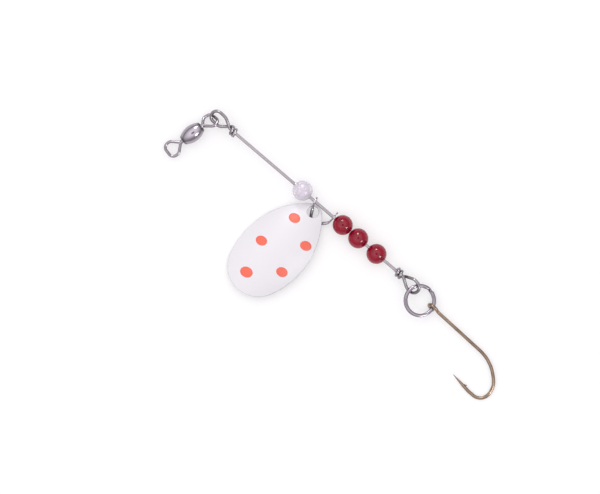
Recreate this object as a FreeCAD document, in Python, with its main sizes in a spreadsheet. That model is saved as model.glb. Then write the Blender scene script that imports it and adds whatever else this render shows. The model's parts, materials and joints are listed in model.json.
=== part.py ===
"""An inline spinner: a wire-shaft lure with a barrel swivel, beads, a spinning blade and a single hook.

It lies on a flat surface, as it does when it is put down. Millimetres, +Z up, +X from the swivel end
to the hook end along the wire shaft. The origin is under the middle of the whole lure.
"""
import FreeCAD
import Part
import Sketcher
import math
import os
from FreeCAD import Placement, Rotation, Vector

doc = FreeCAD.newDocument("inline_spinner")

X_AXIS = Vector(1, 0, 0)
Y_AXIS = Vector(0, 1, 0)
Z_AXIS = Vector(0, 0, 1)

DIMENSIONS = [
    # (alias, value in millimetres or degrees, what it is)
    ("front_x", -40.67, "front wrap of the shaft, from the origin"),
    ("shaft_y", 13.15, "shaft axis, from the origin"),
    ("wire_diameter", 0.80, "shaft wire"),
    ("shaft_length", 55.75, "from the front throat to the rear throat"),
    ("wrap_gap", 0.03, "between the wrapped turns and the wire they hold"),
    ("wrap_pitch", 0.88, "from one wrapped turn to the next"),
    ("front_loop_half", 1.565, "half width of the front loop's centreline"),
    ("front_loop_skew", 0.25, "sideways lean of the front loop"),
    ("front_loop_reach", 5.95, "length of the front loop's centreline"),
    ("front_loop_roll", 20.9, "turn of the front loop about the shaft"),
    ("rear_loop_half", 1.60, "half width of the rear loop's centreline"),
    ("rear_loop_skew", -0.25, "sideways lean of the rear loop"),
    ("rear_loop_reach", 5.25, "length of the rear loop's centreline"),
    ("rear_loop_roll", 32.0, "turn of the rear loop about the shaft"),
    ("bead_diameter", 5.0, "all four beads"),
    ("bead_bore", 0.98, "hole through a bead"),
    ("pearl_bead_x", 23.33, "from the front throat"),
    ("front_bead_x", 36.38, "from the front throat"),
    ("middle_bead_x", 41.40, "from the front throat"),
    ("rear_bead_x", 47.31, "from the front throat"),
    ("barrel_length", 5.8, "swivel barrel"),
    ("barrel_diameter", 4.2, "swivel barrel at its middle"),
    ("barrel_wall", 0.45, "swivel barrel"),
    ("barrel_mouth", 1.60, "opening at each end of the barrel"),
    ("swivel_wire", 0.75, "eyes of the swivel"),
    ("rear_eye_half", 1.895, "half width of the rear swivel eye's centreline"),
    ("front_eye_half", 1.85, "half width of the front swivel eye's centreline"),
    ("rear_eye_reach", 3.915, "length of the rear swivel eye's centreline"),
    ("front_eye_reach", 4.20, "length of the front swivel eye's centreline"),
    ("eye_head", 1.8, "diameter of the head that holds an eye in the barrel"),
    ("clevis_wire", 0.82, "round bow of the clevis"),
    ("clevis_ear", 2.3, "flattened ear of the clevis, across"),
    ("ear_thickness", 0.40, "flattened ear of the clevis"),
    ("ear_bore", 1.14, "hole in each ear"),
    ("clevis_width", 6.0, "from one ear to the other"),
    ("clevis_depth", 4.39, "from the shaft axis to the bottom of the bow"),
    ("clevis_x", 27.46, "front ear, from the front throat"),
    ("clevis_drop", 27.3, "slope of the bow below level"),
    ("blade_length", 28.5, "spinner blade"),
    ("blade_width", 17.16, "spinner blade"),
    ("blade_widest", 16.05, "from the blade's tip to its widest place"),
    ("blade_side_radius", 20.9, "long sides of the blade's outline"),
    ("blade_thickness", 0.42, "spinner blade"),
    ("blade_cross_radius", 13.2, "curve of the dome across the blade"),
    ("blade_long_radius", 33.5, "curve of the dome along the blade"),
    ("blade_hole", 2.9, "hole near the blade's tip"),
    ("blade_hole_in", 1.98, "from the tip to the hole's centre"),
    ("blade_swing", 5.0, "lean of the blade from square to the shaft"),
    ("blade_pitch", -0.9, "lift of the blade's tip"),
    ("blade_roll", 6.4, "lift of the blade's hook-side edge"),
    ("blade_x", 28.57, "blade's tip, from the front throat"),
    ("blade_y", -0.30, "blade's tip, from the shaft axis"),
    ("ring_radius", 3.69, "centreline of the split ring"),
    ("ring_band", 0.85, "split ring wire, across the ring's plane"),
    ("ring_coil", 0.54, "split ring wire, each coil's height"),
    ("ring_gap", 0.03, "between the two coils"),
    ("hook_wire", 0.86, "hook shank, bend and eye"),
    ("hook_eye_radius", 1.20, "centreline of the hook's eye"),
    ("hook_point", 3.9, "taper of the hook's point"),
]

sheet = doc.addObject("Spreadsheet::Sheet", "Dimensions")
for row, (alias, value, meaning) in enumerate(DIMENSIONS, start=1):
    sheet.set(f"A{row}", meaning)
    sheet.set(f"B{row}", str(value))
    sheet.setAlias(f"B{row}", alias)
doc.recompute()


def size(alias):
    """A driving dimension, read back from the sheet."""
    return float(sheet.get(alias))


def unit(vector):
    return vector * (1 / vector.Length)


def centreline_edges(points, radii):
    """A bent wire's centreline: straight runs between the points, joined by tangent arcs."""
    edges = []
    start = points[0]
    for before, corner, after, radius in zip(points, points[1:], points[2:], radii):
        back = unit(before - corner)
        ahead = unit(after - corner)
        half_turn = (math.pi - back.getAngle(ahead)) / 2
        reach = radius * math.tan(half_turn)
        arc_start = corner + back * reach
        arc_end = corner + ahead * reach
        arc_middle = corner + unit(back + ahead) * (radius / math.cos(half_turn) - radius)
        edges.append(Part.LineSegment(start, arc_start).toShape())
        edges.append(Part.Arc(arc_start, arc_middle, arc_end).toShape())
        start = arc_end
    edges.append(Part.LineSegment(start, points[-1]).toShape())
    return edges


def add_path(name, edges):
    """A centreline as an object of the document, for a sweep to follow."""
    path = doc.addObject("Part::Feature", name)
    path.Shape = Part.Wire(edges)
    return path


def add_round_sweep(name, path, start, direction, diameter_cell):
    """Round wire along a path. Its thickness is bound to the sheet."""
    section = doc.addObject("Part::Circle", name + "_section")
    section.setExpression("Radius", f"Dimensions.{diameter_cell} / 2")
    section.Placement = Placement(start, Rotation(Z_AXIS, direction))
    sweep = doc.addObject("Part::Sweep", name)
    sweep.Sections = [section]
    sweep.Spine = (path, [])
    sweep.Solid = True
    sweep.Frenet = False
    return sweep


def add_fuse(name, shapes):
    fuse = doc.addObject("Part::MultiFuse", name)
    fuse.Shapes = shapes
    fuse.Refine = False
    return fuse


def add_cut(name, base, tool):
    cut = doc.addObject("Part::Cut", name)
    cut.Base = base
    cut.Tool = tool
    cut.Refine = False
    return cut


def add_cylinder(name, radius, height, place):
    """A cylinder whose radius and height are expressions of the sheet's cells."""
    cylinder = doc.addObject("Part::Cylinder", name)
    cylinder.setExpression("Radius", radius)
    cylinder.setExpression("Height", height)
    cylinder.Placement = place
    return cylinder


def shaft_place(along=0.0, turn=Rotation()):
    """A place on the shaft axis, measured from the front throat."""
    return Placement(Vector(size("front_x") + along, size("shaft_y"), size("bead_diameter") / 2), turn)


# ---- shaft wire: one length of wire, wrapped round itself into a loop at each end ----

THROAT_RADIUS = 1.2
SHOULDER_RADIUS = 2.2
RETURN_RADIUS = 1.8
CROSSING_RADIUS = 1.0
FRONT_SHOULDER, REAR_SHOULDER = 2.62, 2.7
FRONT_LIFTS = (0.4, 0.32, 0.02, 0.0)
REAR_LIFTS = (0.2, 0.5, 0.4, -0.1)
FRONT_WRAP_QUARTERS, REAR_WRAP_QUARTERS = 7, 9


def wrapped_loop(end, shoulder, lift, leg_side, quarter_turns):
    """Corner points and radii of one wrapped loop: out along the wire, round the nose and back under
    the wire, then round it in close turns. x runs out of the shaft's end, y to the side, z over it.
    The four lifts raise the shoulder, the nose's two corners and the returning shoulder.
    """
    around = size("wire_diameter") + size("wrap_gap")
    half, reach = size(end + "_loop_half"), size(end + "_loop_reach")
    skew = size(end + "_loop_skew") * leg_side
    points = [
        (0.25, 0, 0),
        (shoulder, half + skew * shoulder / reach, lift[0]),
        (reach, half + skew, lift[1]),
        (reach, -half + skew, lift[2]),
        (shoulder, -half + skew * shoulder / reach, lift[3]),
        (0.75, -0.05, -around - 0.04),
    ]
    radii = [THROAT_RADIUS, SHOULDER_RADIUS, 0.98 * half, 0.98 * half, RETURN_RADIUS, CROSSING_RADIUS]
    corners = [(around, -around), (around, around), (-around, around), (-around, -around)]
    for quarter in range(quarter_turns):
        side, over = corners[quarter % 4]
        points.append((-0.25 - size("wrap_pitch") * quarter / 4, side, over))
        radii.append(0.97 * around)
    return [(x, y * leg_side, z) for x, y, z in points], radii[:-1]


def rolled(points, origin_x, outward, roll):
    """Loop points turned about the shaft by roll and set at the shaft's end."""
    cosine, sine = math.cos(math.radians(roll)), math.sin(math.radians(roll))
    return [Vector(origin_x + outward * x, y * cosine - z * sine, y * sine + z * cosine)
            for x, y, z in points]


front_points, front_radii = wrapped_loop("front", FRONT_SHOULDER, FRONT_LIFTS, 1, FRONT_WRAP_QUARTERS)
rear_points, rear_radii = wrapped_loop("rear", REAR_SHOULDER, REAR_LIFTS, -1, REAR_WRAP_QUARTERS)
front_points = rolled(front_points, 0, -1, size("front_loop_roll"))
rear_points = rolled(rear_points, size("shaft_length"), 1, size("rear_loop_roll"))
shaft_points = front_points[::-1] + rear_points
shaft_path = add_path("shaft_path", centreline_edges(shaft_points, front_radii[::-1] + rear_radii))
shaft_wire = add_round_sweep(
    "shaft_wire", shaft_path, shaft_points[0], shaft_points[1] - shaft_points[0], "wire_diameter")
shaft_wire.Placement = shaft_place()


# ---- beads: turned balls threaded on the shaft ----

def add_body(name):
    """A PartDesign body with a sketch on its own XY plane, to be turned about its X axis."""
    body = doc.addObject("PartDesign::Body", name)
    sketch = body.newObject("Sketcher::SketchObject", name + "_profile")
    plane = next(f for f in body.Origin.OriginFeatures if f.Role == "XY_Plane")
    sketch.AttachmentSupport = [(plane, "")]
    sketch.MapMode = "FlatFace"
    return body, sketch


def turn_profile(body, sketch):
    """Revolve the sketch a full turn about the body's X axis."""
    revolution = body.newObject("PartDesign::Revolution", body.Name + "_turned")
    revolution.Profile = sketch
    revolution.ReferenceAxis = (sketch, ["H_Axis"])
    revolution.Angle = 360
    body.Tip = revolution
    return revolution


def join_ends(sketch, pairs):
    """Tie the end of one curve to the start of the next: (curve, end, curve, end)."""
    for pair in pairs:
        sketch.addConstraint(Sketcher.Constraint("Coincident", *pair))


def bind(sketch, index, name, expression):
    """Name a dimension of the sketch and tie it to the sheet."""
    sketch.renameConstraint(index, name)
    sketch.setExpression("Constraints." + name, expression)


def add_bead(name, along_cell):
    body, sketch = add_body(name)
    radius, bore = size("bead_diameter") / 2, size("bead_bore") / 2
    mouth = math.asin(bore / radius)
    ball = Part.ArcOfCircle(Part.Circle(Vector(0, 0, 0), Z_AXIS, radius), mouth, math.pi - mouth)
    reach = radius * math.cos(mouth)
    sketch.addGeometry(ball, False)
    sketch.addGeometry(Part.LineSegment(Vector(-reach, bore, 0), Vector(reach, bore, 0)), False)
    join_ends(sketch, [(0, 2, 1, 1), (1, 2, 0, 1)])
    sketch.addConstraint(Sketcher.Constraint("Coincident", 0, 3, -1, 1))
    sketch.addConstraint(Sketcher.Constraint("Horizontal", 1))
    radius_index = sketch.addConstraint(Sketcher.Constraint("Radius", 0, radius))
    bore_index = sketch.addConstraint(Sketcher.Constraint("DistanceY", -1, 1, 1, 1, bore))
    bind(sketch, radius_index, "ball_radius", "Dimensions.bead_diameter / 2")
    bind(sketch, bore_index, "bore_radius", "Dimensions.bead_bore / 2")
    turn_profile(body, sketch)
    body.Placement = shaft_place(size(along_cell))
    return body


beads = [add_bead(name, name + "_x")
         for name in ("pearl_bead", "front_bead", "middle_bead", "rear_bead")]


# ---- barrel swivel: a hollow barrel that holds the heads of two wire eyes ----

SWIVEL_ANGLE = 78.0
SWIVEL_RISE = 5.0
REAR_EYE_ANGLE = 73.2
REAR_EYE_RISE = -3.9
REAR_EYE_ROLL = -34.9
BARREL_CENTRE = (-6.48, -6.93)
BARREL_LIFT = 0.015
RIM_SHARE = 0.55
INNER_RIM_SHARE = 0.35


def swivel_turn(heading, rise):
    """Turn a part's x axis to a heading in plan, raised from the level."""
    return Rotation(Z_AXIS, heading).multiply(Rotation(Y_AXIS, -rise))


barrel_turn = swivel_turn(SWIVEL_ANGLE, SWIVEL_RISE)
barrel_centre = Vector(size("front_x") + BARREL_CENTRE[0], size("shaft_y") + BARREL_CENTRE[1],
                       size("barrel_diameter") / 2 + BARREL_LIFT)


def add_barrel(name):
    """The barrel's wall: an egg-shaped shell, drawn in to a mouth at each end."""
    body, sketch = add_body(name)
    half, middle = size("barrel_length") / 2, size("barrel_diameter") / 2
    wall, mouth = size("barrel_wall"), size("barrel_mouth") / 2
    rim = RIM_SHARE * middle
    inner_half = half - wall
    inner_rim = rim - INNER_RIM_SHARE * wall
    outer = Part.Arc(Vector(half, rim, 0), Vector(0, middle, 0), Vector(-half, rim, 0))
    inner = Part.Arc(Vector(-inner_half, inner_rim, 0), Vector(0, middle - wall, 0),
                     Vector(inner_half, inner_rim, 0))
    corners = [
        (Vector(-half, rim, 0), Vector(-half, mouth, 0)),
        (Vector(-half, mouth, 0), Vector(-inner_half, mouth, 0)),
        (Vector(-inner_half, mouth, 0), Vector(-inner_half, inner_rim, 0)),
        (Vector(inner_half, inner_rim, 0), Vector(inner_half, mouth, 0)),
        (Vector(inner_half, mouth, 0), Vector(half, mouth, 0)),
        (Vector(half, mouth, 0), Vector(half, rim, 0)),
    ]
    sketch.addGeometry(outer, False)
    for start, end in corners[:3]:
        sketch.addGeometry(Part.LineSegment(start, end), False)
    sketch.addGeometry(inner, False)
    for start, end in corners[3:]:
        sketch.addGeometry(Part.LineSegment(start, end), False)
    join_ends(sketch, [(0, 2, 1, 1), (1, 2, 2, 1), (2, 2, 3, 1), (3, 2, 4, 2),
                       (4, 1, 5, 1), (5, 2, 6, 1), (6, 2, 7, 1), (7, 2, 0, 1)])
    for line in (1, 3, 5, 7):
        sketch.addConstraint(Sketcher.Constraint("Vertical", line))
    for line in (2, 6):
        sketch.addConstraint(Sketcher.Constraint("Horizontal", line))
    sketch.addConstraint(Sketcher.Constraint("Symmetric", 2, 1, 6, 2, -2))
    sketch.addConstraint(Sketcher.Constraint("Equal", 2, 6))
    length_index = sketch.addConstraint(Sketcher.Constraint("DistanceX", 2, 1, 6, 2, 2 * half))
    mouth_index = sketch.addConstraint(Sketcher.Constraint("DistanceY", -1, 1, 6, 2, mouth))
    wall_index = sketch.addConstraint(Sketcher.Constraint("DistanceX", 6, 1, 6, 2, wall))
    bind(sketch, length_index, "length", "Dimensions.barrel_length")
    bind(sketch, mouth_index, "mouth_radius", "Dimensions.barrel_mouth / 2")
    bind(sketch, wall_index, "wall", "Dimensions.barrel_wall")
    turn_profile(body, sketch)
    body.Placement = Placement(barrel_centre, barrel_turn)
    return body


barrel = add_barrel("swivel_barrel")


STEM_RADIUS = 0.5
NECK_RADIUS = 0.42
NECK_START, NECK_LENGTH = -0.1, 0.9
HEAD_HEIGHT = 0.7
EYE_SHOULDER_RADIUS = 1.2
EYE_NOSE_SHARE = 0.70
EYE_SIDE_START = 0.1
EYE_SHOULDER_BACK = 0.2


def add_swivel_eye(name, stem_length, skew, throat, turn):
    """An eye of round wire on a stem with a head. The head sits inside the barrel's end. The skew is
    how far one side of the eye was pulled ahead of the other when it was closed, for each mm across.
    """
    end = name.removeprefix("swivel_")
    half, reach = size(end + "_half"), size(end + "_reach")
    sides = []
    for side in (1, -1):
        corners = [(EYE_SIDE_START, 0), (reach - half - EYE_SHOULDER_BACK, side * half),
                   (reach, side * half), (reach, 0)]
        points = [Vector(x - skew * y, y, 0) for x, y in corners]
        edges = centreline_edges(points, [EYE_SHOULDER_RADIUS, EYE_NOSE_SHARE * half])
        label = f"{name}_{'left' if side > 0 else 'right'}"
        path = add_path(label + "_path", edges)
        sides.append(add_round_sweep(label, path, points[0], points[1] - points[0], "swivel_wire"))
    along = Rotation(Z_AXIS, X_AXIS)
    neck = doc.addObject("Part::Cone", name + "_neck")
    neck.Radius1, neck.Radius2, neck.Height = STEM_RADIUS, NECK_RADIUS, NECK_LENGTH
    neck.Placement = Placement(Vector(NECK_START, 0, 0), along)
    stem_foot = Placement(Vector(-stem_length, 0, 0), along)
    stem = doc.addObject("Part::Cylinder", name + "_stem")
    stem.Radius, stem.Height = STEM_RADIUS, stem_length + NECK_START
    stem.Placement = stem_foot
    head = add_cylinder(name + "_head", "Dimensions.eye_head / 2", str(HEAD_HEIGHT), stem_foot)
    eye = add_fuse(name, sides + [neck, stem, head])
    eye.Placement = Placement(throat, turn)
    return eye


def barrel_point(along):
    """A place on the barrel's axis, measured from its middle towards the shaft."""
    return barrel_centre + barrel_turn.multVec(X_AXIS) * along


MID_WALL = (size("barrel_length") - size("barrel_wall")) / 2
REAR_STEM_OUT, REAR_STEM = 0.375, 1.825
FRONT_STEM_OUT, FRONT_STEM = 0.775, 1.9
REAR_EYE_SKEW = 0.21
rear_eye_turn = swivel_turn(REAR_EYE_ANGLE, REAR_EYE_RISE).multiply(Rotation(X_AXIS, REAR_EYE_ROLL))
rear_eye = add_swivel_eye(
    "swivel_rear_eye", REAR_STEM, REAR_EYE_SKEW,
    barrel_point(MID_WALL) + rear_eye_turn.multVec(X_AXIS) * REAR_STEM_OUT, rear_eye_turn)
front_eye = add_swivel_eye(
    "swivel_front_eye", FRONT_STEM, 0, barrel_point(-MID_WALL - FRONT_STEM_OUT),
    swivel_turn(SWIVEL_ANGLE + 180, -SWIVEL_RISE))


# ---- clevis: round wire flattened into an ear at each end and bent into a stirrup ----

FRONT_EAR_LEAN = 15.5
FRONT_LEG_BEND = Vector(0.46, -1.62, 0)
REAR_LEG_BEND = Vector(size("clevis_width"), -2.0, 0)
BOW_FRONT = Vector(1.80, -size("clevis_depth"), 0)
BOW_REAR = Vector(size("clevis_width") - 2.05, -size("clevis_depth"), 0)
BOW_RADII = [1.2, 1.6]
# from the bend of a leg to where its wire is round again
ROUND_AFTER_BEND = 0.55
# down a leg from the shaft axis, thickness and width of the flattened wire there
FLAT_SECTIONS = [(0.78, 0.34, 1.4), (1.30, 0.44, 0.92)]
# ear's outer and inner end, from the shaft axis
FRONT_EAR_ENDS = (1.25, -1.20)
REAR_EAR_ENDS = (1.73, -1.20)


def add_leg_section(name, place, along, thickness, width):
    """A cross-section of a leg, square to it. Its long way lies across the clevis."""
    section = doc.addObject("Part::Ellipse", name)
    section.MajorRadius, section.MinorRadius = width / 2, thickness / 2
    turn = Rotation(Z_AXIS, along.cross(Z_AXIS), along, "ZXY")
    section.Placement = Placement(place, turn)
    return section


def add_leg(name, x, down, bend, bow_corner):
    """The flattened wire from an ear to where it is round again, at the bow's end."""
    sections = [
        add_leg_section(f"{name}_section_{number}", Vector(x, 0, 0) + down * reach, down, thickness, width)
        for number, (reach, thickness, width) in enumerate(FLAT_SECTIONS)]
    along = unit(bow_corner - bend)
    round_wire = size("clevis_wire")
    end = bend + along * ROUND_AFTER_BEND
    sections.append(add_leg_section(name + "_section_end", end, along, round_wire, round_wire))
    leg = doc.addObject("Part::Loft", name)
    leg.Sections = sections
    leg.Solid = True
    return leg, end


def add_ear(name, x, down, ends):
    """A flat oval ear. It stands square to the leg's flat side."""
    outline = doc.addObject("Part::Ellipse", name + "_outline")
    outline.MajorRadius = (ends[0] - ends[1]) / 2
    outline.setExpression("MinorRadius", "Dimensions.clevis_ear / 2")
    middle = Vector(x, 0, 0) - down * ((ends[0] + ends[1]) / 2)
    normal = down.cross(Z_AXIS)
    turn = Rotation(down, normal.cross(down), normal, "ZXY")
    outline.Placement = Placement(middle, turn)
    ear = doc.addObject("Part::Extrusion", name)
    ear.Base = outline
    ear.DirMode = "Custom"
    ear.Dir = normal
    ear.Symmetric = True
    ear.setExpression("LengthFwd", "Dimensions.ear_thickness")
    ear.Solid = True
    return ear, normal


def add_clevis(name):
    """x runs along the shaft from the front ear, y out from the shaft, z square to the bow."""
    pieces, bores, ends = [], [], []
    bore_reach = size("clevis_wire")
    for label, x, lean, bend, bow_corner, ear_ends in (
            ("front", 0, FRONT_EAR_LEAN, FRONT_LEG_BEND, BOW_FRONT, FRONT_EAR_ENDS),
            ("rear", size("clevis_width"), 0, REAR_LEG_BEND, BOW_REAR, REAR_EAR_ENDS)):
        down = Rotation(Z_AXIS, lean).multVec(-Y_AXIS)
        leg, end = add_leg(f"{name}_{label}_leg", x, down, bend, bow_corner)
        ear, normal = add_ear(f"{name}_{label}_ear", x, down, ear_ends)
        pieces += [leg, ear]
        ends.append(end)
        bore_place = Placement(Vector(x, 0, 0) - normal * bore_reach, Rotation(Z_AXIS, normal))
        bores.append(add_cylinder(f"{name}_{label}_bore", "Dimensions.ear_bore / 2",
                                  "Dimensions.clevis_wire * 2", bore_place))
    path = add_path(name + "_path", centreline_edges([ends[0], BOW_FRONT, BOW_REAR, ends[1]], BOW_RADII))
    bow = add_round_sweep(name + "_bow", path, ends[0], BOW_FRONT - ends[0], "clevis_wire")
    blank = add_fuse(name + "_blank", [bow] + pieces)
    clevis = add_cut(name, blank, add_fuse(name + "_bores", bores))
    clevis.Placement = shaft_place(size("clevis_x"), Rotation(X_AXIS, size("clevis_drop")))
    return clevis


clevis = add_clevis("clevis")


# ---- blade: sheet metal domed both ways, cut to an egg, with a hole near its tip ----

DOME_CENTRE = 15.0
CUT_ABOVE, CUT_BELOW = 2, 12


def mirrored(point):
    """The same place on the blade's other side."""
    return Vector(-point.x, point.y, point.z)


def egg_outline():
    """Arcs of the blade's outline, tip at the origin, running along -y. The tip and the foot are
    round and meet the two long sides tangentially.
    """
    length, widest = size("blade_length"), size("blade_widest")
    side_radius = size("blade_side_radius")
    offset = side_radius - size("blade_width") / 2
    # a circle on the blade's axis, at one end of it, touches both sides from the inside
    foot_reach = length - widest
    foot_radius = (side_radius ** 2 - offset ** 2 - foot_reach ** 2) / (2 * (side_radius - foot_reach))
    tip_radius = (side_radius ** 2 - offset ** 2 - widest ** 2) / (2 * (side_radius - widest))
    side_centre = Vector(-offset, -widest, 0)
    touches = []
    for centre in (Vector(0, -tip_radius, 0), Vector(0, -(length - foot_radius), 0)):
        touches.append(side_centre + unit(centre - side_centre) * side_radius)
    tip_touch, foot_touch = touches
    widest_point = Vector(size("blade_width") / 2, -widest, 0)
    return [
        Part.Arc(mirrored(tip_touch), Vector(0, 0, 0), tip_touch),
        Part.Arc(tip_touch, widest_point, foot_touch),
        Part.Arc(foot_touch, Vector(0, -length, 0), mirrored(foot_touch)),
        Part.Arc(mirrored(foot_touch), mirrored(widest_point), mirrored(tip_touch)),
    ]


def add_dome_skin(name, allowance):
    """A ring-shaped solid whose top is the dome. Its crest lies over the blade's middle."""
    skin = doc.addObject("Part::Torus", name)
    skin.setExpression("Radius1", "Dimensions.blade_long_radius - Dimensions.blade_cross_radius")
    skin.setExpression("Radius2", f"Dimensions.blade_cross_radius + {allowance}")
    crest = Vector(0, -DOME_CENTRE, -size("blade_long_radius"))
    skin.Placement = Placement(crest, Rotation(Z_AXIS, X_AXIS))
    return skin


def add_blade(name):
    shell = add_cut(name + "_shell", add_dome_skin(name + "_top", "0"),
                    add_dome_skin(name + "_underside", "-Dimensions.blade_thickness"))
    outline = doc.addObject("Sketcher::SketchObject", name + "_outline")
    for arc in egg_outline():
        outline.addGeometry(arc, False)
    cutter = doc.addObject("Part::Extrusion", name + "_cutter")
    cutter.Base = outline
    cutter.DirMode = "Normal"
    cutter.LengthFwd = CUT_ABOVE
    cutter.LengthRev = CUT_BELOW
    cutter.Solid = True
    blank = doc.addObject("Part::Common", name + "_blank")
    blank.Base, blank.Tool = shell, cutter
    hole_place = Placement(Vector(0, -size("blade_hole_in"), -CUT_BELOW), Rotation())
    hole = add_cylinder(name + "_hole", "Dimensions.blade_hole / 2", str(CUT_ABOVE + CUT_BELOW), hole_place)
    blade = add_cut(name, blank, hole)
    return blade


blade = add_blade("spinner_blade")
doc.recompute()
blade_turn = Rotation(Z_AXIS, -size("blade_swing")).multiply(
    Rotation(X_AXIS, size("blade_pitch"))).multiply(Rotation(Y_AXIS, -size("blade_roll")))
blade.Placement = Placement(shaft_place(size("blade_x")).Base + Y_AXIS * size("blade_y"), blade_turn)
doc.recompute()
# the blade's lowest edge rests on the surface
blade_floor = blade.Shape.optimalBoundingBox(True, False).ZMin
blade.Placement = Placement(blade.Placement.Base - Z_AXIS * blade_floor, blade_turn)


# ---- split ring: two close coils of flat wire, with one step from coil to coil ----

STEP_START = 336.0
STEP_REACH = 0.55
STEP_RADII = [0.9, 0.9]
END_ANGLE = 0.5
RING_TURN = 100.0
RING_X = 62.90
RING_OFFSET = Vector(0, -1.80, -0.126)


def add_split_ring(name):
    radius = size("ring_radius")
    level = (size("ring_coil") + size("ring_gap")) / 2

    def on_coil(angle, height):
        return Vector(radius * math.cos(math.radians(angle)), radius * math.sin(math.radians(angle)), height)

    def along_coil(angle):
        return Vector(-math.sin(math.radians(angle)), math.cos(math.radians(angle)), 0)

    start = on_coil(END_ANGLE, -level)
    step_foot = on_coil(STEP_START, -level)
    step_head = on_coil(360, level)
    step = [step_foot, step_foot + along_coil(STEP_START) * STEP_REACH,
            step_head - along_coil(0) * STEP_REACH, step_head]
    edges = [Part.Arc(start, on_coil(STEP_START / 2, -level), step_foot).toShape()]
    edges += centreline_edges(step, STEP_RADII)
    last = on_coil(STEP_START - END_ANGLE, level)
    edges.append(Part.Arc(step_head, on_coil(STEP_START / 2, level), last).toShape())
    path = add_path(name + "_path", edges)
    section = Part.Ellipse(start, size("ring_band") / 2, size("ring_coil") / 2)
    section.Axis = along_coil(END_ANGLE)
    section.XAxis = unit(Vector(start.x, start.y, 0))
    sweep = Part.BRepOffsetAPI.MakePipeShell(path.Shape)
    sweep.setBiNormalMode(Z_AXIS)
    sweep.add(Part.Wire([section.toShape()]))
    sweep.build()
    sweep.makeSolid()
    ring = doc.addObject("Part::Feature", name)
    ring.Shape = sweep.shape()
    return ring


split_ring = add_split_ring("split_ring")
ring_normal = unit(Vector(0.179, 0.219, 1))
ring_turn = Rotation(Z_AXIS, ring_normal).multiply(Rotation(Z_AXIS, RING_TURN))
split_ring.Placement = Placement(shaft_place(RING_X).Base + RING_OFFSET, ring_turn)


# ---- hook: long shank, round bend, barbed point and a ringed eye ----

HOOK_EYE_TWIST = 71.0
HOOK_NECK_RADIUS = 0.9
HOOK_EYE_OUT = 1.34
EYE_GAP_ANGLE = 22.0
BEND_POINTS = [Vector(17.8, -0.6, 0), Vector(22.72, -5.1, 0), Vector(22.72, -10.0, 0),
               Vector(18.4, -10.0, 0), Vector(16.7, -9.77, 0)]
BEND_RADII = [10.3, 4.6, 2.7, 5.0]
POINT_RADIUS = 0.05
# a sliver of the wire is cut up from its inner side: where the cut starts, its tip and its heel
BARB = [Vector(15.6, -9.62, 0), Vector(17.3, -9.05, 0), Vector(16.9, -9.6, 0)]
BARB_THICKNESS = 0.32
HOOK_X = 68.19
HOOK_OFFSET = Vector(0, -1.072, -0.944)
HOOK_ROLL, HOOK_DIP = 3.64, 1.30


def add_hook(name):
    """One wire: the ringed eye, the shank and the bend. x runs down the shank from the neck of the
    eye and y points away from the point, in the plane of the bend.
    """
    neck = Vector(0, 0, 0)
    eye_radius = size("hook_eye_radius")
    eye_centre = HOOK_EYE_OUT * eye_radius
    tangent_angle = math.degrees(math.acos(eye_radius / eye_centre))
    twist = Rotation(X_AXIS, HOOK_EYE_TWIST)

    def on_eye(angle):
        turned = math.radians(angle)
        return twist.multVec(Vector(-eye_centre + eye_radius * math.cos(turned),
                                    eye_radius * math.sin(turned), 0))

    leave = on_eye(tangent_angle)
    closed = on_eye(360 - tangent_angle - EYE_GAP_ANGLE)
    edges = [Part.Arc(closed, on_eye(180), leave).toShape()]
    edges += centreline_edges([leave, neck] + BEND_POINTS, [HOOK_NECK_RADIUS] + BEND_RADII)
    path = add_path(name + "_path", edges)
    start_direction = twist.multVec(Rotation(Z_AXIS, 270 - tangent_angle - EYE_GAP_ANGLE).multVec(X_AXIS))
    wire = add_round_sweep(name + "_wire", path, closed, start_direction, "hook_wire")
    point_start = BEND_POINTS[-1]
    point_axis = unit(point_start - BEND_POINTS[-2])
    point = doc.addObject("Part::Cone", name + "_point")
    point.setExpression("Radius1", "Dimensions.hook_wire / 2")
    point.Radius2 = POINT_RADIUS
    point.setExpression("Height", "Dimensions.hook_point")
    point.Placement = Placement(point_start, Rotation(Z_AXIS, point_axis))
    foot = Z_AXIS * (-BARB_THICKNESS / 2)
    barb_profile = Part.makePolygon([corner + foot for corner in BARB + BARB[:1]])
    barb = doc.addObject("Part::Feature", name + "_barb")
    barb.Shape = Part.Face(barb_profile).extrude(Z_AXIS * BARB_THICKNESS)
    return add_fuse(name, [wire, point, barb])


hook = add_hook("hook")
hook_turn = Rotation(X_AXIS, HOOK_ROLL).multiply(Rotation(Y_AXIS, HOOK_DIP))
hook.Placement = Placement(shaft_place(HOOK_X).Base + HOOK_OFFSET, hook_turn)


# ---- check and write ----

doc.recompute()
SUB_PARTS = [shaft_wire, rear_eye, barrel, front_eye, clevis, blade, split_ring, hook] + beads
for item in doc.Objects:
    if "Invalid" in item.State or "Error" in item.State:
        raise RuntimeError(f"{item.Name} failed: {item.State}")
os.makedirs("parts", exist_ok=True)
for sub_part in SUB_PARTS:
    sub_part.Label = sub_part.Name
    shape = sub_part.Shape
    if shape.isNull() or not shape.isValid() or shape.Volume <= 0:
        raise RuntimeError(f"{sub_part.Label} has no valid shape")
    shape.exportStep(f"parts/{sub_part.Label}.step")
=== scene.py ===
"""The finishes, stage and lights of an inline spinner, laid out as a Blender add-on and run as a script.

Lengths are in metres in the frame of the CAD part: +X runs along the shaft towards the hook, +Z is up
and the lure lies on z = 0.
"""
import json
import math

import bmesh
import bpy
from bpy.props import FloatProperty, FloatVectorProperty, PointerProperty
from bpy.types import Operator, Panel, PropertyGroup
from mathutils import Matrix, Vector
from mathutils.bvhtree import BVHTree


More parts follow.
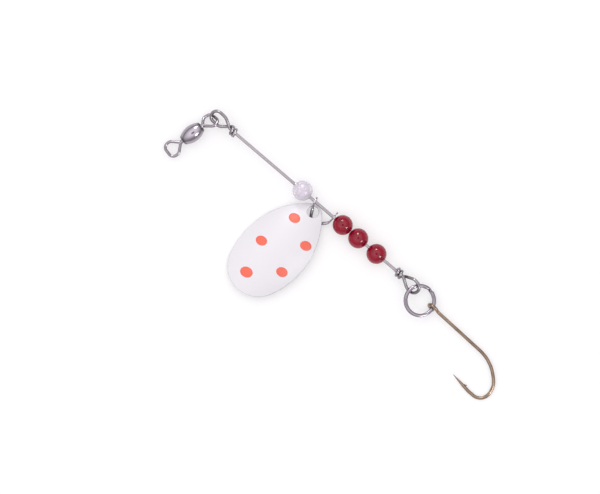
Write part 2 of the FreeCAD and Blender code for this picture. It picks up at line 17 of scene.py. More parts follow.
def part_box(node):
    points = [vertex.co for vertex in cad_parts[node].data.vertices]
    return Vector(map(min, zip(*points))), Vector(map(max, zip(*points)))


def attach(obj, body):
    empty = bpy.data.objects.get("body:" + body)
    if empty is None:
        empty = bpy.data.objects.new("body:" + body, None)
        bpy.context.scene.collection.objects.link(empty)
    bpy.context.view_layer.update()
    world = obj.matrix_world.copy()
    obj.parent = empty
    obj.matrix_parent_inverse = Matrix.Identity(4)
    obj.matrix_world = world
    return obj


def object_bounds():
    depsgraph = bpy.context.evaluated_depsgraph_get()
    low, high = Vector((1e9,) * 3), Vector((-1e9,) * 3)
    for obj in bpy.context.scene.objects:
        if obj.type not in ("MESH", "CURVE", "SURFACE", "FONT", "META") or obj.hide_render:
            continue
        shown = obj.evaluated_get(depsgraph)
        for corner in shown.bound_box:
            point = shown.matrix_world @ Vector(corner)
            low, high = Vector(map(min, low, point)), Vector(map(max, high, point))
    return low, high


bl_info = {
    "name": "Inline Spinner",
    "version": (1, 0, 0),
    "blender": (4, 5, 0),
    "location": "3D View > Sidebar > Spinner",
    "description": "Finishes a wire-shaft spinner: steel wire, swivel, enamelled blade, beads, ring and hook",
    "category": "Object",
}

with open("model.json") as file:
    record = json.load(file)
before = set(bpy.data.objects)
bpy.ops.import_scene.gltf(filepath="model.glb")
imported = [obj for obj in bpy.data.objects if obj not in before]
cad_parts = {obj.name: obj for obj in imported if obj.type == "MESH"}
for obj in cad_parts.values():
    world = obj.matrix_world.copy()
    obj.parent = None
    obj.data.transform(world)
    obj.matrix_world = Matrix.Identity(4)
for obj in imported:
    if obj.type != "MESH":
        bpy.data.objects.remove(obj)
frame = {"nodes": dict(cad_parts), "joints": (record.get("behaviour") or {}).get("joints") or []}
CAD_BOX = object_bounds()

MM = 0.001


def linear(hex_colour):
    """An sRGB hex colour as linear red, green and blue."""
    channels = [int(hex_colour[i:i + 2], 16) / 255 for i in (1, 3, 5)]
    return tuple(c / 12.92 if c <= 0.04045 else ((c + 0.055) / 1.055) ** 2.4 for c in channels)


def opaque(colour):
    """A colour with full alpha, as colour sockets take it."""
    return (*colour, 1.0)


def darker(colour, share):
    """A colour turned down to a share of its brightness, with full alpha."""
    return opaque(channel * share for channel in colour)


# ---- settings a user would change ----

class StageSettings(PropertyGroup):
    """The camera, the floor and the lamps."""

    picture_width: FloatProperty(
        name="Picture Width", description="Width of floor that the camera sees", default=147.8 * MM,
        unit="LENGTH")
    lens: FloatProperty(
        name="Lens", description="Focal length of the camera in millimetres", default=200.0)
    heading: FloatProperty(
        name="Heading", description="Turn of the picture's base from the shaft", default=math.radians(40.5),
        subtype="ANGLE", unit="ROTATION")
    floor_size: FloatProperty(
        name="Floor Size", description="Side of the square floor", default=3.0, unit="LENGTH")
    floor_colour: FloatVectorProperty(
        name="Floor Colour", description="Paper under the lure", default=linear("#FFFFFF"), subtype="COLOR",
        size=3, min=0, max=1)
    lamp_power: FloatProperty(
        name="Lamp Power", description="Power of each soft box", default=1.2, unit="POWER")
    ceiling_level: FloatProperty(
        name="Ceiling Level", description="Brightness of the room overhead", default=1.80)
    wall_level: FloatProperty(
        name="Wall Level", description="Brightness of the room low down", default=0.50)


class WireSettings(PropertyGroup):
    """The bright wire and metal fittings."""

    shaft_colour: FloatVectorProperty(
        name="Shaft Colour", description="Drawn stainless wire", default=linear("#BCB6BB"), subtype="COLOR",
        size=3, min=0, max=1)
    clevis_colour: FloatVectorProperty(
        name="Clevis Colour", description="Nickel-plated brass", default=linear("#B6AFB6"), subtype="COLOR",
        size=3, min=0, max=1)
    ring_colour: FloatVectorProperty(
        name="Ring Colour", description="Plated spring steel", default=linear("#979099"), subtype="COLOR",
        size=3, min=0, max=1)
    barrel_colour: FloatVectorProperty(
        name="Barrel Colour", description="Polished nickel plate", default=linear("#ABA4AD"), subtype="COLOR",
        size=3, min=0, max=1)
    eye_colour: FloatVectorProperty(
        name="Swivel Eye Colour", description="Plated swivel wire", default=linear("#9E979F"),
        subtype="COLOR", size=3, min=0, max=1)


class BladeSettings(PropertyGroup):
    """The enamelled blade and its painted spots."""

    enamel_colour: FloatVectorProperty(
        name="Enamel Colour", description="White baked enamel", default=linear("#E8E7EA"), subtype="COLOR",
        size=3, min=0, max=1)
    spot_colour: FloatVectorProperty(
        name="Spot Colour", description="Orange-red spot paint", default=linear("#FA6F56"), subtype="COLOR",
        size=3, min=0, max=1)
    edge_wear: FloatProperty(
        name="Edge Wear", description="How far in from an edge the enamel is rubbed thin by tumbling",
        default=0.22 * MM, unit="LENGTH")
    spot_width: FloatProperty(
        name="Spot Width", description="A spot across the blade", default=2.91 * MM, unit="LENGTH")
    spot_length: FloatProperty(
        name="Spot Length", description="A spot along the blade", default=2.38 * MM, unit="LENGTH")
    spot_height: FloatProperty(
        name="Spot Height", description="Thickness of the spot paint", default=0.04 * MM, unit="LENGTH")


class BeadSettings(PropertyGroup):
    """The moulded beads."""

    pearl_colour: FloatVectorProperty(
        name="Pearl Colour", description="Milky pearl acrylic", default=linear("#F0EAF4"), subtype="COLOR",
        size=3, min=0, max=1)
    ruby_colour: FloatVectorProperty(
        name="Ruby Colour", description="Clear ruby acrylic", default=linear("#B20A33"), subtype="COLOR",
        size=3, min=0, max=1)


class HookSettings(PropertyGroup):
    """The bronzed hook."""

    bronze_colour: FloatVectorProperty(
        name="Bronze Colour", description="Bronzed carbon steel", default=linear("#BBA18A"), subtype="COLOR",
        size=3, min=0, max=1)
    stain_colour: FloatVectorProperty(
        name="Stain Colour", description="Darker patches of the bronzing", default=linear("#4C4038"),
        subtype="COLOR", size=3, min=0, max=1)


# ---- materials ----

# a noise pattern seldom leaves this range, so what follows the pattern is spread over it
PATTERN_RANGE = {"From Min": 0.3, "From Max": 0.7}


def new_material(name):
    """A node material that has no nodes yet."""
    material = bpy.data.materials.new(name)
    material.use_nodes = True
    material.node_tree.nodes.clear()
    return material


def add_node(tree, kind, inputs=None, **settings):
    """Add a node, set its properties, and set or link its inputs: a socket is linked, a value is set."""
    node = tree.nodes.new(kind)
    for name, value in settings.items():
        setattr(node, name, value)
    for name, value in (inputs or {}).items():
        if isinstance(value, bpy.types.NodeSocket):
            tree.links.new(value, node.inputs[name])
        else:
            node.inputs[name].default_value = value
    return node


def grain(tree, size, stretch=(1, 1, 1), detail=2.0):
    """Noise whose lumps are about size metres, longer along the axes whose stretch is above 1."""
    place = add_node(tree, "ShaderNodeTexCoord")
    scaled = add_node(tree, "ShaderNodeMapping", {
        "Vector": place.outputs["Object"], "Scale": [1 / (size * s) for s in stretch]})
    noise = add_node(tree, "ShaderNodeTexNoise", {
        "Vector": scaled.outputs["Vector"], "Scale": 1.0, "Detail": detail, "Roughness": 0.55})
    return noise.outputs["Fac"]


# the painted shade on a bent loop comes in over this length, from where the wire's straight run ends
LOOP_SHADE_FADE = 1.5 * MM


def drawn_steel(name, colour, roughness=0.17, straight_run=None):
    """Stainless wire pulled through a die: bright, with faint lines along it and small dull patches.

    straight_run gives the x of the wire's middle and half its straight length: past that the wire was bent
    with pliers into loops, which are painted darker as shade.
    """
    material = new_material(name)
    tree = material.node_tree
    # the die's lines are a few hundredths of a millimetre apart, drawn 0.12 mm apart so that they show
    lines = grain(tree, 0.12 * MM, stretch=(40, 1, 1))
    patches = grain(tree, 2.5 * MM, detail=3.0)
    base = add_node(tree, "ShaderNodeMix", {
        "Factor": patches, "A": darker(colour, 0.82), "B": opaque(colour)}, data_type="RGBA")
    if straight_run:
        middle, half = straight_run
        place = add_node(tree, "ShaderNodeTexCoord")
        along = add_node(tree, "ShaderNodeSeparateXYZ", {"Vector": place.outputs["Object"]})
        offset = add_node(tree, "ShaderNodeMath", {
            0: along.outputs["X"], 1: middle}, operation="SUBTRACT")
        away = add_node(tree, "ShaderNodeMath", {0: offset.outputs["Value"]}, operation="ABSOLUTE")
        # painted shade: the bent loops are drawn darker than the straight run of the same wire
        loop_shade = add_node(tree, "ShaderNodeMapRange", {
            "Value": away.outputs["Value"], "From Min": half, "From Max": half + LOOP_SHADE_FADE})
        shaded_loop_colour = add_node(tree, "ShaderNodeMix", {
            "Factor": patches, "A": darker(colour, 0.50), "B": darker(colour, 0.72)}, data_type="RGBA")
        base = add_node(tree, "ShaderNodeMix", {
            "Factor": loop_shade.outputs["Result"], "A": base.outputs["Result"], "B": shaded_loop_colour.outputs["Result"]},
            data_type="RGBA")
    dullness = add_node(tree, "ShaderNodeMapRange", {
        "Value": lines, **PATTERN_RANGE, "To Min": roughness - 0.06, "To Max": roughness + 0.08})
    relief = add_node(tree, "ShaderNodeBump", {"Height": lines, "Distance": 0.004 * MM})
    shader = add_node(tree, "ShaderNodeBsdfPrincipled", {
        "Base Color": base.outputs["Result"],
        "Metallic": 1.0,
        "Roughness": dullness.outputs["Result"],
        "Normal": relief.outputs["Normal"]})
    add_node(tree, "ShaderNodeOutputMaterial", {"Surface": shader.outputs["BSDF"]})
    return material


# the painted shade round the barrel's mouths comes in over this length
MOUTH_SHADE_FADE = 0.6 * MM


def nickel_plate(name, colour, roughness=0.14, mouths=None):
    """Barrel-polished nickel over brass: mirror bright with slow waves and fine scuffs.

    mouths gives the middle and the axis of a barrel and how far along it the painted shade starts that
    darkens the metal round its two mouths.
    """
    material = new_material(name)
    tree = material.node_tree
    waves = grain(tree, 1.6 * MM, detail=1.0)
    scuffs = grain(tree, 0.25 * MM, detail=4.0)
    base = add_node(tree, "ShaderNodeMix", {
        "Factor": waves, "A": darker(colour, 0.88), "B": opaque(colour)}, data_type="RGBA")
    if mouths:
        middle, axis, start = mouths
        place = add_node(tree, "ShaderNodeTexCoord")
        arm = add_node(tree, "ShaderNodeVectorMath", {
            0: place.outputs["Object"], 1: middle}, operation="SUBTRACT")
        along = add_node(tree, "ShaderNodeVectorMath", {
            0: arm.outputs["Vector"], 1: axis}, operation="DOT_PRODUCT")
        away = add_node(tree, "ShaderNodeMath", {0: along.outputs["Value"]}, operation="ABSOLUTE")
        # painted shade: the metal turns dark towards both mouths of the barrel
        mouth_shade = add_node(tree, "ShaderNodeMapRange", {
            "Value": away.outputs["Value"], "From Min": start, "From Max": start + MOUTH_SHADE_FADE})
        base = add_node(tree, "ShaderNodeMix", {
            "Factor": mouth_shade.outputs["Result"], "A": base.outputs["Result"], "B": darker(colour, 0.22)},
            data_type="RGBA")
    dullness = add_node(tree, "ShaderNodeMapRange", {
        "Value": scuffs, **PATTERN_RANGE, "To Min": roughness - 0.04, "To Max": roughness + 0.07})
    relief = add_node(tree, "ShaderNodeBump", {"Height": waves, "Distance": 0.02 * MM})
    shader = add_node(tree, "ShaderNodeBsdfPrincipled", {
        "Base Color": base.outputs["Result"],
        "Metallic": 1.0,
        "Roughness": dullness.outputs["Result"],
        "Normal": relief.outputs["Normal"]})
    add_node(tree, "ShaderNodeOutputMaterial", {"Surface": shader.outputs["BSDF"]})
    return material


# height of a surface's normal up to which the enamel leaves it bare, and from which it is fully coated
COAT_RANGE = {"From Min": 0.45, "From Max": 0.62}
# agreement of the rounded normal with the true one up to which the coat is rubbed off, and from which
# it is untouched
WEAR_RANGE = {"From Min": 0.90, "From Max": 0.995}
# the nickel under the enamel
BARE_PLATE = linear("#A39BA3")


def baked_enamel(name, settings):
    """White stoving enamel over nickel-plated brass: a flowed glossy coat on the domed face, thin at the
    edge, and bare plate on the hollow back.
    """
    material = new_material(name)
    tree = material.node_tree
    flow = grain(tree, 1.4 * MM, detail=2.0)
    dust = grain(tree, 5.0 * MM, detail=4.0)
    colour = settings.enamel_colour
    white = add_node(tree, "ShaderNodeMix", {
        "Factor": dust, "A": darker(colour, 0.965), "B": opaque(colour)}, data_type="RGBA")
    dullness = add_node(tree, "ShaderNodeMapRange", {
        "Value": flow, **PATTERN_RANGE, "To Min": 0.38, "To Max": 0.46})
    relief = add_node(tree, "ShaderNodeBump", {"Height": flow, "Distance": 0.006 * MM})
    enamel = add_node(tree, "ShaderNodeBsdfPrincipled", {
        "Base Color": white.outputs["Result"],
        "Roughness": dullness.outputs["Result"],
        "IOR": 1.50,
        "Normal": relief.outputs["Normal"]})

    scuffs = grain(tree, 0.3 * MM, detail=4.0)
    scuffed = add_node(tree, "ShaderNodeMapRange", {
        "Value": scuffs, **PATTERN_RANGE, "To Min": 0.16, "To Max": 0.30})
    plate = add_node(tree, "ShaderNodeBsdfPrincipled", {
        "Base Color": opaque(BARE_PLATE),
        "Metallic": 1.0,
        "Roughness": scuffed.outputs["Result"]})

    # the coat lies on the domed face alone: the cut edge and the hollow back are bare plate
    facing = add_node(tree, "ShaderNodeTexCoord")
    height = add_node(tree, "ShaderNodeSeparateXYZ", {"Vector": facing.outputs["Normal"]})
    front = add_node(tree, "ShaderNodeMapRange", {"Value": height.outputs["Z"], **COAT_RANGE})
    # near an edge a rounded normal leans away from the true one: there tumbling has rubbed the coat off,
    # which leaves a thin grey line round the white
    rounded = add_node(tree, "ShaderNodeBevel", {"Radius": settings.edge_wear}, samples=8)
    true_normal = add_node(tree, "ShaderNodeNewGeometry")
    agreement = add_node(tree, "ShaderNodeVectorMath", {
        0: rounded.outputs["Normal"], 1: true_normal.outputs["Normal"]}, operation="DOT_PRODUCT")
    unworn = add_node(tree, "ShaderNodeMapRange", {"Value": agreement.outputs["Value"], **WEAR_RANGE})
    coated = add_node(tree, "ShaderNodeMath", {
        0: front.outputs["Result"], 1: unworn.outputs["Result"]}, operation="MULTIPLY")
    mixed = add_node(tree, "ShaderNodeMixShader", {
        0: coated.outputs["Value"], 1: plate.outputs["BSDF"], 2: enamel.outputs["BSDF"]})
    add_node(tree, "ShaderNodeOutputMaterial", {"Surface": mixed.outputs["Shader"]})
    return material


def spot_paint(name, colour):
    """Bright spot paint dabbed on the enamel: opaque, satin, a little deeper where it is thick."""
    material = new_material(name)
    tree = material.node_tree
    pool = grain(tree, 0.9 * MM, detail=2.0)
    base = add_node(tree, "ShaderNodeMix", {
        "Factor": pool, "A": darker(colour, 0.86), "B": opaque(colour)}, data_type="RGBA")
    dullness = add_node(tree, "ShaderNodeMapRange", {
        "Value": pool, **PATTERN_RANGE, "To Min": 0.38, "To Max": 0.50})
    relief = add_node(tree, "ShaderNodeBump", {"Height": pool, "Distance": 0.01 * MM})
    shader = add_node(tree, "ShaderNodeBsdfPrincipled", {
        "Base Color": base.outputs["Result"],
        "Roughness": dullness.outputs["Result"],
        "IOR": 1.48,
        "Normal": relief.outputs["Normal"]})
    add_node(tree, "ShaderNodeOutputMaterial", {"Surface": shader.outputs["BSDF"]})
    return material


def clear_acrylic(name, colour, deep):
    """Moulded clear acrylic: glassy, tinted through, with soft flow streaks of a deeper tint inside."""
    material = new_material(name)
    tree = material.node_tree
    streaks = grain(tree, 1.6 * MM, stretch=(3, 1, 1), detail=1.0)
    tint = add_node(tree, "ShaderNodeMix", {
        "Factor": streaks, "A": opaque(deep), "B": opaque(colour)}, data_type="RGBA")
    shader = add_node(tree, "ShaderNodeBsdfPrincipled", {
        "Base Color": tint.outputs["Result"],
        "Roughness": 0.10,
        "IOR": 1.49,
        "Specular IOR Level": 0.36,
        "Transmission Weight": 0.42})
    add_node(tree, "ShaderNodeOutputMaterial", {"Surface": shader.outputs["BSDF"]})
    return material


def pearl_acrylic(name, colour):
    """Moulded pearl acrylic: milky, half clear, with a silky swirl under a polished skin."""
    material = new_material(name)
    tree = material.node_tree
    swirl = grain(tree, 1.3 * MM, stretch=(1, 2, 1), detail=3.0)
    milk = add_node(tree, "ShaderNodeMix", {
        "Factor": swirl, "A": darker(colour, 0.90), "B": opaque(colour)}, data_type="RGBA")
    dullness = add_node(tree, "ShaderNodeMapRange", {
        "Value": swirl, **PATTERN_RANGE, "To Min": 0.20, "To Max": 0.30})
    shader = add_node(tree, "ShaderNodeBsdfPrincipled", {
        "Base Color": milk.outputs["Result"],
        "Roughness": dullness.outputs["Result"],
        "IOR": 1.49,
        "Transmission Weight": 0.30,
        "Subsurface Weight": 0.80,
        "Subsurface Radius": (1.0, 1.0, 1.0),
        "Subsurface Scale": 1.2 * MM,
        "Coat Weight": 0.3,
        "Coat Roughness": 0.16})
    add_node(tree, "ShaderNodeOutputMaterial", {"Surface": shader.outputs["BSDF"]})
    return material


def bronzed_steel(name, settings):
    """Carbon steel with a baked bronze lacquer: brown metal, uneven where the lacquer is thick."""
    material = new_material(name)
    tree = material.node_tree
    patches = grain(tree, 1.1 * MM, stretch=(3, 1, 1), detail=4.0)
    pits = grain(tree, 0.35 * MM, detail=3.0)
    lacquer = add_node(tree, "ShaderNodeMix", {
        "Factor": patches, "A": opaque(settings.stain_colour), "B": opaque(settings.bronze_colour)},
        data_type="RGBA")
    dullness = add_node(tree, "ShaderNodeMapRange", {
        "Value": pits, **PATTERN_RANGE, "To Min": 0.15, "To Max": 0.27})
    relief = add_node(tree, "ShaderNodeBump", {"Height": pits, "Distance": 0.008 * MM})
    shader = add_node(tree, "ShaderNodeBsdfPrincipled", {
        "Base Color": lacquer.outputs["Result"],
        "Metallic": 1.0,
        "Roughness": dullness.outputs["Result"],
        "Coat Weight": 0.3,
        "Coat Roughness": 0.12,
        "Normal": relief.outputs["Normal"]})
    add_node(tree, "ShaderNodeOutputMaterial", {"Surface": shader.outputs["BSDF"]})
    return material


# share of the floor's look that is plain white to each kind of ray: the rest is lit paper, which keeps
# the shadow, and light that comes through a bead finds the floor white
GLOW_SHARES = (("Is Camera Ray", 0.52), ("Is Glossy Ray", 0.15), ("Is Transmission Ray", 0.90))
PLAIN_WHITE = (1.0, 1.0, 1.0, 1.0)


def paper_floor(name, colour):
    """Matt white paper that reads as pure white where nothing shades it, and keeps a faint shadow."""
    material = new_material(name)
    tree = material.node_tree
    paper = add_node(tree, "ShaderNodeBsdfDiffuse", {"Color": opaque(colour)})
    glow = add_node(tree, "ShaderNodeEmission", {"Color": PLAIN_WHITE, "Strength": 1.0})
    rays = add_node(tree, "ShaderNodeLightPath")
    share = 0.0
    for ray, part in GLOW_SHARES:
        added = add_node(tree, "ShaderNodeMath", {
            0: rays.outputs[ray], 1: part, 2: share}, operation="MULTIPLY_ADD")
        share = added.outputs["Value"]
    mixed = add_node(tree, "ShaderNodeMixShader", {
        0: share, 1: paper.outputs["BSDF"], 2: glow.outputs["Emission"]})
    add_node(tree, "ShaderNodeOutputMaterial", {"Surface": mixed.outputs["Shader"]})
    return material


# ---- shared building steps ----

# faces that meet at less than this are one smooth surface
SMOOTH_ANGLE = math.radians(40)


def dress(node, material):
    """Give a CAD piece its finish and smooth shading, keeping its true edges sharp."""
    piece = frame["nodes"][node]
    piece.data.materials.clear()
    piece.data.materials.append(material)
    piece.data.shade_smooth()
    piece.data.set_sharp_from_angle(angle=SMOOTH_ANGLE)
    return piece


def new_piece(name, mesh, material, body):
    """A new object in the scene that rides on a CAD body."""
    piece = bpy.data.objects.new(name, mesh)
    bpy.context.scene.collection.objects.link(piece)
    piece.data.materials.append(material)
    piece.data.shade_smooth()
    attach(piece, body)
    return piece


# ---- the stage ----

# the point under the middle of the picture
LOOK_AT = Vector((-8.79 * MM, 2.21 * MM, 2.5 * MM))
# nearest and farthest that the camera sees
CLIP_RANGE = (0.01, 10.0)
# the paper lies this far under the lure, so that the two share no plane
FLOOR_CLEARANCE = 0.01 * MM
# direction of each soft box from the lure: heading from +X in degrees, angle from overhead in degrees
SOFT_BOXES = ((131.0, 54.0), (3.0, 52.0))
# how far each soft box stands from the lure, and its side
SOFT_BOX_REACH = 0.60
SOFT_BOX_SIDE = 0.165
# the ceiling is brightest along this direction and fades to the walls away from it: cosines of the
# angle between the two, where the fade has ended and where it starts
CEILING_MIDDLE = (-0.17, 0.0, 0.985)
CEILING_FADE = {"From Min": 0.40, "From Max": 0.95}
# the room's light has a trace of purple
ROOM_TINT = (1.0, 0.97, 1.0, 1.0)
# the camera's own dark spot on the ceiling: angles from overhead at which it starts and is full, and
# how much of the ceiling's light is left in it
CAMERA_SPOT_ANGLES = (math.radians(15), math.radians(8))
CAMERA_SPOT_LEVEL = 0.08


class SPINNER_OT_stage(Operator):
    """Set up the camera, the white floor, the room and two soft boxes"""

    bl_idname = "spinner.stage"
    bl_label = "Stage and Camera"

    def execute(self, context):
        settings = context.scene.spinner_stage
        scene = context.scene
        camera_data = bpy.data.cameras.new("overhead_camera")
        camera_data.lens = settings.lens
        camera = bpy.data.objects.new("overhead_camera", camera_data)
        scene.collection.objects.link(camera)
        reach = settings.picture_width * settings.lens / camera_data.sensor_width
        camera.location = LOOK_AT + Vector((0, 0, reach))
        camera.rotation_euler = (0, 0, settings.heading)
        camera_data.clip_start, camera_data.clip_end = CLIP_RANGE
        scene.camera = camera

        half = settings.floor_size / 2
        floor_mesh = bpy.data.meshes.new("paper_floor")
        corners = [(-half, -half, 0), (half, -half, 0), (half, half, 0), (-half, half, 0)]
        floor_mesh.from_pydata(corners, [], [(0, 1, 2, 3)])
        floor_mesh.materials.append(paper_floor("matt_paper", settings.floor_colour))
        floor = bpy.data.objects.new("paper_floor", floor_mesh)
        floor.location.z = CAD_BOX[0].z - FLOOR_CLEARANCE
        scene.collection.objects.link(floor)

        for number, (heading, from_overhead) in enumerate(SOFT_BOXES, start=1):
            lamp_data = bpy.data.lights.new(f"soft_box_{number}", "AREA")
            lamp_data.size = SOFT_BOX_SIDE
            lamp_data.energy = settings.lamp_power
            lamp = bpy.data.objects.new(f"soft_box_{number}", lamp_data)
            turn, tilt = math.radians(heading), math.radians(from_overhead)
            towards = Vector((
                math.sin(tilt) * math.cos(turn), math.sin(tilt) * math.sin(turn), math.cos(tilt)))
            lamp.location = LOOK_AT + towards * SOFT_BOX_REACH
            lamp.rotation_euler = towards.to_track_quat("Z", "Y").to_euler()
            # the room alone lights the paper: the soft boxes show as highlights and throw no second shadow
            lamp.visible_diffuse = False
            scene.collection.objects.link(lamp)

        world = bpy.data.worlds.new("pale_room")
        world.use_nodes = True
        tree = world.node_tree
        tree.nodes.clear()
        direction = add_node(tree, "ShaderNodeTexCoord").outputs["Generated"]
        # a pale ceiling that leans to one side and darker walls: bright metal needs both to look like metal
        height = add_node(tree, "ShaderNodeVectorMath", {
            0: direction, 1: CEILING_MIDDLE}, operation="DOT_PRODUCT")
        room = add_node(tree, "ShaderNodeMapRange", {
            "Value": height.outputs["Value"], **CEILING_FADE,
            "To Min": settings.wall_level, "To Max": settings.ceiling_level})
        # the camera hangs straight over the lure: a dark spot in every polished top
        up = add_node(tree, "ShaderNodeSeparateXYZ", {"Vector": direction})
        outer, inner = CAMERA_SPOT_ANGLES
        camera_spot = add_node(tree, "ShaderNodeMapRange", {
            "Value": up.outputs["Z"], "From Min": math.cos(outer), "From Max": math.cos(inner),
            "To Min": 1.0, "To Max": CAMERA_SPOT_LEVEL})
        level = add_node(tree, "ShaderNodeMath", {
            0: room.outputs["Result"], 1: camera_spot.outputs["Result"]}, operation="MULTIPLY")
        lit = add_node(tree, "ShaderNodeBackground", {
            "Color": ROOM_TINT, "Strength": level.outputs["Value"]})
        plain = add_node(tree, "ShaderNodeBackground", {"Color": PLAIN_WHITE, "Strength": 1.0})
        rays = add_node(tree, "ShaderNodeLightPath")
        mixed = add_node(tree, "ShaderNodeMixShader", {
            0: rays.outputs["Is Camera Ray"],
            1: lit.outputs["Background"], 2: plain.outputs["Background"]})
        add_node(tree, "ShaderNodeOutputWorld", {"Surface": mixed.outputs["Shader"]})
        scene.world = world
        scene.view_settings.view_transform = "Standard"
        return {"FINISHED"}


# ---- the lure ----

# length of the shaft that each bent loop takes up, with its wraps
LOOP_LENGTH = 8.4 * MM
# from the barrel's middle to where the painted shade round its mouths starts
MOUTH_SHADE_START = 2.25 * MM


class SPINNER_OT_shaft(Operator):
    """Finish the wrapped wire shaft in drawn stainless steel"""

    bl_idname = "spinner.shaft"
    bl_label = "Wire Shaft"

    def execute(self, context):
        settings = context.scene.spinner_wire
        low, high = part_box("shaft_wire")
        # past the straight run the wire's loops carry painted shade
        middle = (low.x + high.x) / 2
        straight = (high.x - low.x) / 2 - LOOP_LENGTH
        dress("shaft_wire", drawn_steel("stainless_wire_drawn", settings.shaft_colour,
                                        straight_run=(middle, straight)))
        return {"FINISHED"}


class SPINNER_OT_swivel(Operator):
    """Finish the swivel's barrel and both its eyes in polished nickel"""

    bl_idname = "spinner.swivel"
    bl_label = "Barrel Swivel"

    def execute(self, context):
        settings = context.scene.spinner_wire
        spin = next(joint for joint in frame["joints"] if joint["name"] == "barrel_spin")
        # the barrel carries painted shade round its two mouths
        dress("swivel_barrel", nickel_plate("nickel_plate_barrel", settings.barrel_colour,
                                            mouths=(spin["pos_m"], spin["axis"], MOUTH_SHADE_START)))
        eye_wire = drawn_steel("nickel_wire_eyes", settings.eye_colour, roughness=0.16)
        dress("swivel_rear_eye", eye_wire)
        dress("swivel_front_eye", eye_wire)
        return {"FINISHED"}


class SPINNER_OT_clevis(Operator):
    """Finish the clevis that carries the blade"""

    bl_idname = "spinner.clevis"
    bl_label = "Clevis"

    def execute(self, context):
        settings = context.scene.spinner_wire
        dress("clevis", nickel_plate("nickel_plate_clevis", settings.clevis_colour, roughness=0.15))
        return {"FINISHED"}


# the painted spots: across from the blade's middle and down from its tip in millimetres, and the size
# of each against the spot width and length
SPOTS = ((-1.34, 6.01, 1.0), (5.23, 9.43, 1.0), (-3.91, 15.52, 1.0), (4.95, 18.14, 1.0), (-1.69, 23.80, 1.10))
SPOT_TURN = math.radians(17.5)
SPOT_RINGS = 9
SPOT_SIDES = 56
# a spot's underside lies this share of its height inside the enamel
SPOT_BITE = 0.5


class SPINNER_OT_blade(Operator):
    """Enamel the blade and dab the five plain spots on its domed face"""

    bl_idname = "spinner.blade"
    bl_label = "Blade"

    def execute(self, context):
        settings = context.scene.spinner_blade
        blade = dress("spinner_blade", baked_enamel("stoving_enamel_white", settings))
        surface = BVHTree.FromPolygons(
            [v.co for v in blade.data.vertices], [p.vertices[:] for p in blade.data.polygons])
        low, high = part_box("spinner_blade")
        middle = (low.x + high.x) / 2
        paint = spot_paint("spot_paint_orange", settings.spot_colour)
        for number, (across, down, size) in enumerate(SPOTS, start=1):
            # a little over the dome, from where the spot is cast down on it
            centre = Vector((middle + across * MM, high.y - down * MM, high.z + MM))
            mesh = self.spot_mesh(f"blade_spot_{number}", surface, centre, size, settings)
            new_piece(f"blade_spot_{number}", mesh, paint, "blade")
        return {"FINISHED"}

    def spot_mesh(self, name, surface, centre, size, settings):
        """A low lens of paint that follows the dome. Its underside lies just inside the enamel."""
        shape = bmesh.new()
        skins = []
        for is_top in (True, False):
            rings = []
            for ring in range(SPOT_RINGS + 1):
                share = ring / SPOT_RINGS
                # flat on top with a round shoulder that comes down to the enamel
                rise = settings.spot_height * (math.sqrt(1 - share ** 4) if is_top else -SPOT_BITE)
                sides = 1 if ring == 0 else SPOT_SIDES
                points = []
                for side in range(sides):
                    angle = 2 * math.pi * side / SPOT_SIDES
                    along = share * size * settings.spot_width / 2 * math.cos(angle)
                    across = share * size * settings.spot_length / 2 * math.sin(angle)
                    start = centre + Matrix.Rotation(SPOT_TURN, 3, "Z") @ Vector((along, across, 0))
                    hit = surface.ray_cast(start, Vector((0, 0, -1)))
                    points.append(shape.verts.new(hit[0] + hit[1] * rise))
                rings.append(points)
            skins.append(rings)
        for rings, is_top in zip(skins, (True, False)):
            for inner, outer in zip(rings, rings[1:]):
                for side in range(SPOT_SIDES):
                    ahead = (side + 1) % SPOT_SIDES
                    if len(inner) == 1:
                        face = [inner[0], outer[side], outer[ahead]]
                    else:
                        face = [inner[side], outer[side], outer[ahead], inner[ahead]]
                    shape.faces.new(face if is_top else face[::-1])
        upper, lower = skins[0][-1], skins[1][-1]
        for side in range(SPOT_SIDES):
            ahead = (side + 1) % SPOT_SIDES
            shape.faces.new([upper[side], lower[side], lower[ahead], upper[ahead]])
        mesh = bpy.data.meshes.new(name)
        shape.to_mesh(mesh)
        shape.free()
        return mesh


# the deeper red of the flow streaks
RUBY_STREAKS = linear("#94082A")


class SPINNER_OT_beads(Operator):
    """Finish the pearl bead and the three ruby beads"""

    bl_idname = "spinner.beads"
    bl_label = "Beads"

    def execute(self, context):
        settings = context.scene.spinner_beads
        dress("pearl_bead", pearl_acrylic("acrylic_pearl", settings.pearl_colour))
        ruby = clear_acrylic("acrylic_ruby", settings.ruby_colour, RUBY_STREAKS)
        for node in ("front_bead", "middle_bead", "rear_bead"):
            dress(node, ruby)
        return {"FINISHED"}


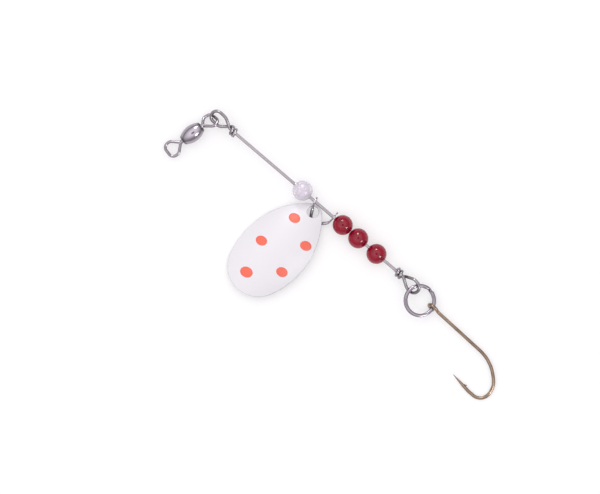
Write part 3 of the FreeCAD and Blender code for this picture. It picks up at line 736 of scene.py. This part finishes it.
class SPINNER_OT_ring(Operator):
    """Finish the split ring in plated spring steel"""

    bl_idname = "spinner.ring"
    bl_label = "Split Ring"

    def execute(self, context):
        settings = context.scene.spinner_wire
        dress("split_ring", nickel_plate("plated_spring_steel", settings.ring_colour, roughness=0.18))
        return {"FINISHED"}


class SPINNER_OT_hook(Operator):
    """Finish the hook in bronzed steel"""

    bl_idname = "spinner.hook"
    bl_label = "Hook"

    def execute(self, context):
        dress("hook", bronzed_steel("bronzed_carbon_steel", context.scene.spinner_hook))
        return {"FINISHED"}


class SPINNER_PT_panel(Panel):
    """Every step of the spinner, in order"""

    bl_label = "Inline Spinner"
    bl_idname = "SPINNER_PT_panel"
    bl_space_type = "VIEW_3D"
    bl_region_type = "UI"
    bl_category = "Spinner"

    def draw(self, context):
        for operator, settings in STEPS:
            box = self.layout.box()
            box.operator(operator.bl_idname)
            group = getattr(context.scene, settings)
            for name in group.__annotations__:
                box.prop(group, name)


SETTINGS = {
    "spinner_stage": StageSettings,
    "spinner_wire": WireSettings,
    "spinner_blade": BladeSettings,
    "spinner_beads": BeadSettings,
    "spinner_hook": HookSettings,
}
STEPS = (
    (SPINNER_OT_stage, "spinner_stage"),
    (SPINNER_OT_shaft, "spinner_wire"),
    (SPINNER_OT_swivel, "spinner_wire"),
    (SPINNER_OT_clevis, "spinner_wire"),
    (SPINNER_OT_blade, "spinner_blade"),
    (SPINNER_OT_beads, "spinner_beads"),
    (SPINNER_OT_ring, "spinner_wire"),
    (SPINNER_OT_hook, "spinner_hook"),
)


def register():
    """Add the settings, the operators and the panel to Blender."""
    for name, group in SETTINGS.items():
        bpy.utils.register_class(group)
        setattr(bpy.types.Scene, name, PointerProperty(type=group))
    for operator, _ in STEPS:
        bpy.utils.register_class(operator)
    bpy.utils.register_class(SPINNER_PT_panel)


def unregister():
    """Take out everything that register added."""
    bpy.utils.unregister_class(SPINNER_PT_panel)
    for operator, _ in reversed(STEPS):
        bpy.utils.unregister_class(operator)
    for name, group in SETTINGS.items():
        delattr(bpy.types.Scene, name)
        bpy.utils.unregister_class(group)


def main():
    """Run every step."""
    register()
    for operator, _ in STEPS:
        group, action = operator.bl_idname.split(".")
        getattr(getattr(bpy.ops, group), action)()


if __name__ == "__main__":
    main()
